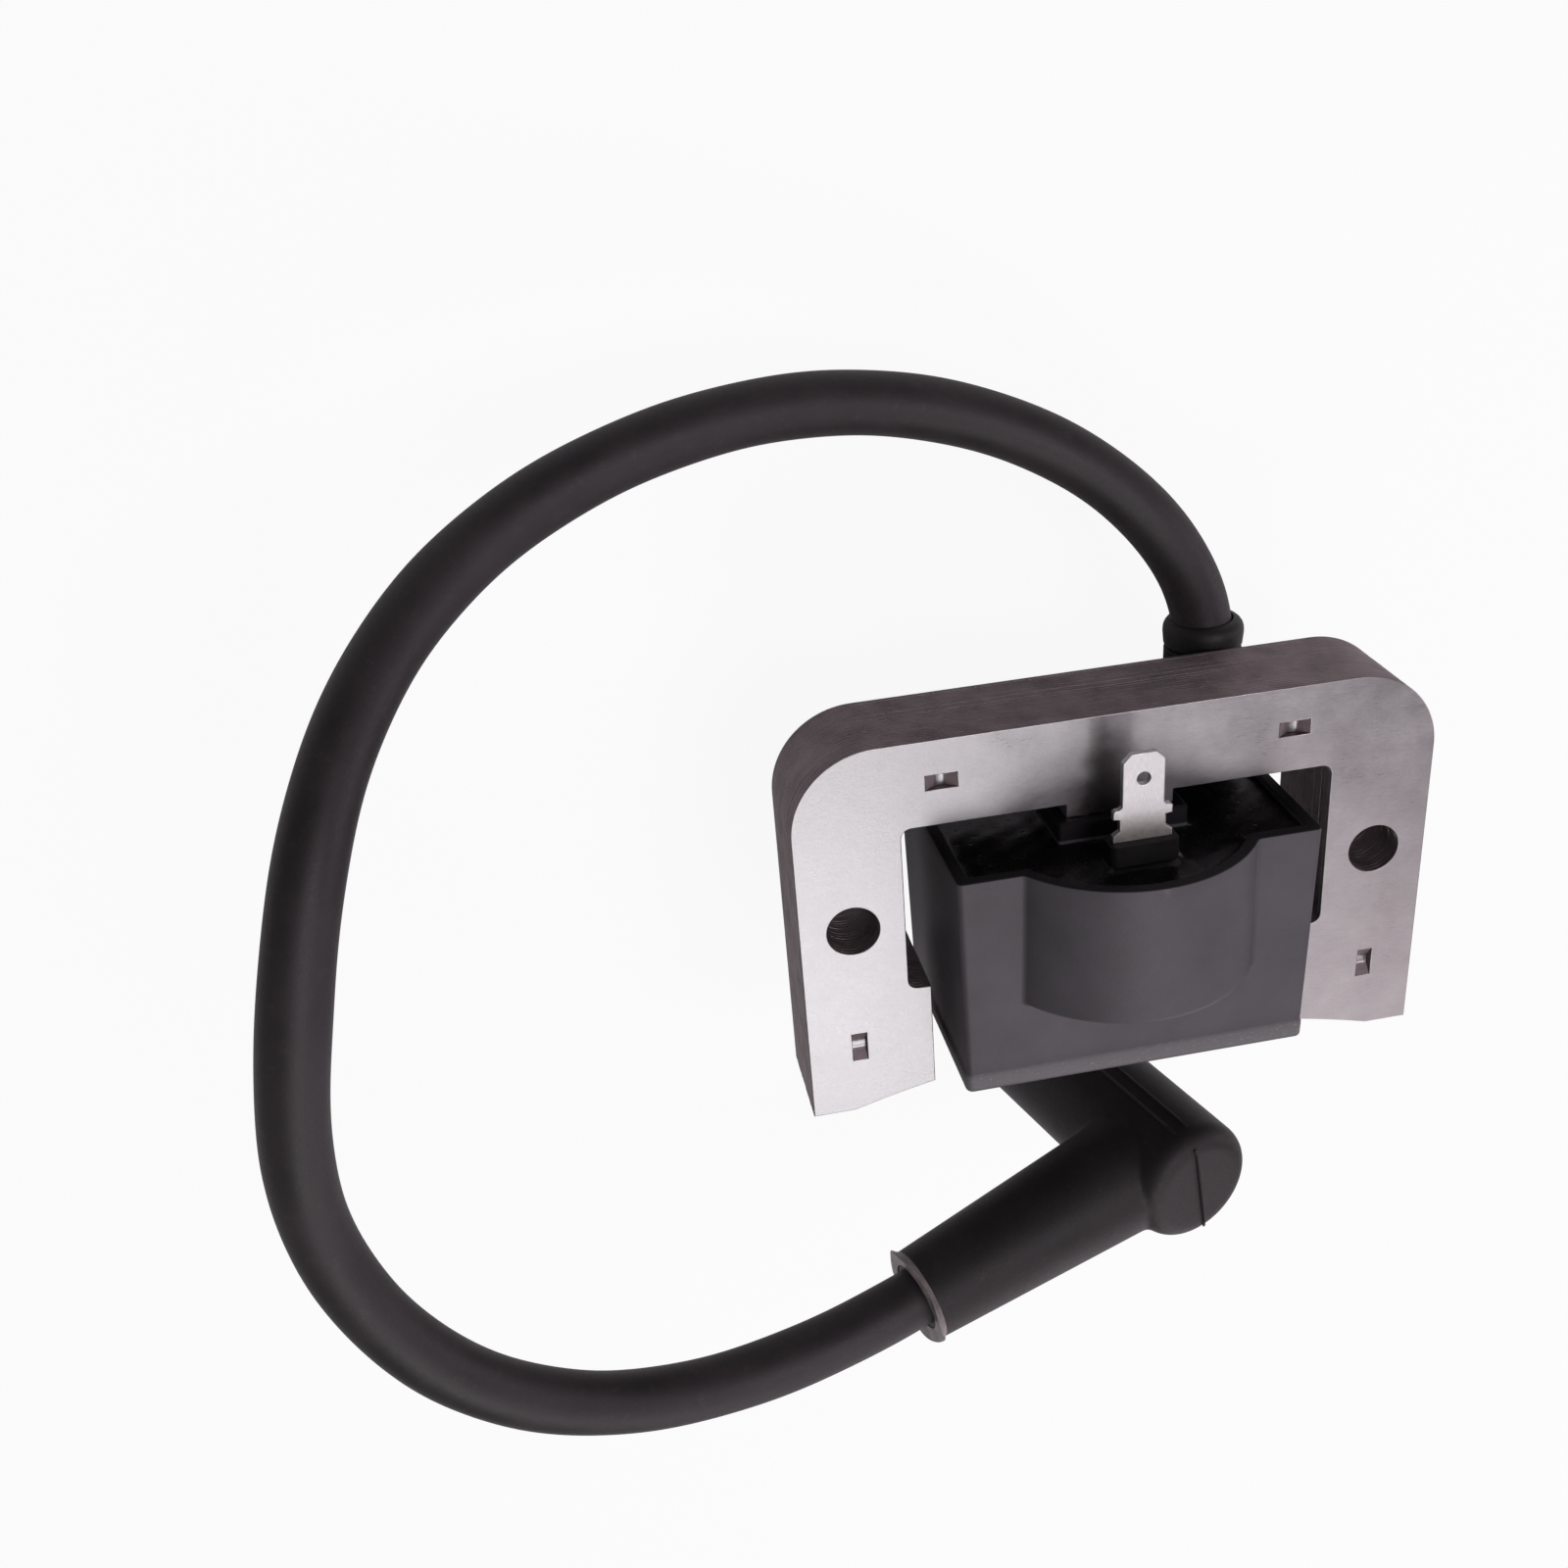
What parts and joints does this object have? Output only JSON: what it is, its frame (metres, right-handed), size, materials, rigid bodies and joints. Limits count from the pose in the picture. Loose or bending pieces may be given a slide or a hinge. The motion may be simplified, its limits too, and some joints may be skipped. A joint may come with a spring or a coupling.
{
  "type": "ignition coil",
  "caption": "Flywheel ignition coil: laminated E-core with a potted coil housing, a blade kill terminal, and a flexible high-tension lead ending in a right-angle spark plug boot.",
  "frame": {"origin": "midway between the two fixing holes, on the rear face of the core that seats on the engine", "axes": "+X along the line of the two fixing holes, +Y away from the flywheel towards the crossbar, +Z out of the core's front face"},
  "size_m": [0.1339, 0.1137, 0.0627],
  "materials": {
    "electrical_steel_face": "zinc grey, fine rolled grain",
    "electrical_steel_edge": "sheared lamination edges, dark varnish",
    "electrical_steel_rear": "zinc grey, fine rolled grain",
    "spring_steel": "spring steel strip",
    "housing_plastic": "matte charcoal moulded nylon",
    "primary_bobbin_plastic": "black moulded nylon",
    "primary_copper": "enamelled copper wire",
    "secondary_bobbin_plastic": "natural moulded nylon",
    "secondary_copper": "fine enamelled copper wire",
    "potting_epoxy": "glossy black epoxy",
    "board_laminate": "green glass-epoxy board",
    "transistor_plastic": "black moulded package",
    "capacitor_film": "dipped film capacitor",
    "resistor_body": "coated film resistors",
    "tab_tin": "tinned brass blade",
    "kill_wire_copper": "enamelled copper wire",
    "ht_wire_copper": "fine enamelled copper wire",
    "pin_brass": "turned brass",
    "strap_brass": "rolled brass strip",
    "grommet_rubber": "black moulded rubber",
    "lead_rubber": "matte black synthetic rubber jacket",
    "stranded_copper": "stranded tinned copper",
    "boot_rubber": "matte black moulded rubber",
    "clip_brass": "stamped brass",
    "ring_steel": "spring wire",
    "spike_brass": "turned brass"
  },
  "bodies": {
    "module": {"core_front_sheet": "electrical_steel_face", "core_stack": "electrical_steel_edge", "core_rear_sheet": "electrical_steel_rear", "leg_wedge": "spring_steel", "coil_housing": "housing_plastic", "primary_bobbin": "primary_bobbin_plastic", "primary_winding": "primary_copper", "secondary_bobbin": "secondary_bobbin_plastic", "secondary_winding": "secondary_copper", "potting_compound": "potting_epoxy", "circuit_board": "board_laminate", "switching_transistor": "transistor_plastic", "trigger_capacitor": "capacitor_film", "board_resistors": "resistor_body", "kill_tab": "tab_tin", "kill_wire": "kill_wire_copper", "ht_wire": "ht_wire_copper", "ht_pin": "pin_brass", "ground_strap": "strap_brass", "lead_grommet": "grommet_rubber", "lead_root": "lead_rubber", "conductor_root": "stranded_copper"},
    "upper_lead": {"lead_upper": "lead_rubber", "conductor_upper": "stranded_copper"},
    "lower_lead": {"lead_lower": "lead_rubber", "conductor_lower": "stranded_copper"},
    "end_lead": {"lead_end": "lead_rubber", "conductor_end": "stranded_copper"},
    "boot": {"plug_boot": "boot_rubber", "terminal_clip": "clip_brass", "clip_ring": "ring_steel", "contact_spike": "spike_brass"}
  },
  "joints": [
    {"name": "root_flex", "type": "hinge", "parent": "module", "child": "upper_lead", "pos_m": [0.01396, 0.03233, -0.00564], "axis": [0, 0, 1], "range_deg": [-10, 12], "stiffness_Nm_per_rad": 0.02},
    {"name": "mid_flex", "type": "hinge", "parent": "upper_lead", "child": "lower_lead", "pos_m": [-0.07698, 0.04319, 0.01938], "axis": [0.4201, 0.2, 0.8852], "range_deg": [-20, 2], "stiffness_Nm_per_rad": 0.02},
    {"name": "end_flex", "type": "hinge", "parent": "lower_lead", "child": "end_lead", "pos_m": [-0.07319, -0.04024, 0.03492], "axis": [-0.4744, -0.7831, 0.4021], "range_deg": [-12, 12], "stiffness_Nm_per_rad": 0.02},
    {"name": "boot_swivel", "type": "hinge", "parent": "end_lead", "child": "boot", "pos_m": [0.0059, -0.0402, 0.013], "axis": [0.9423, 0.16, -0.2941], "range_deg": [-110, 5]}
  ]
}
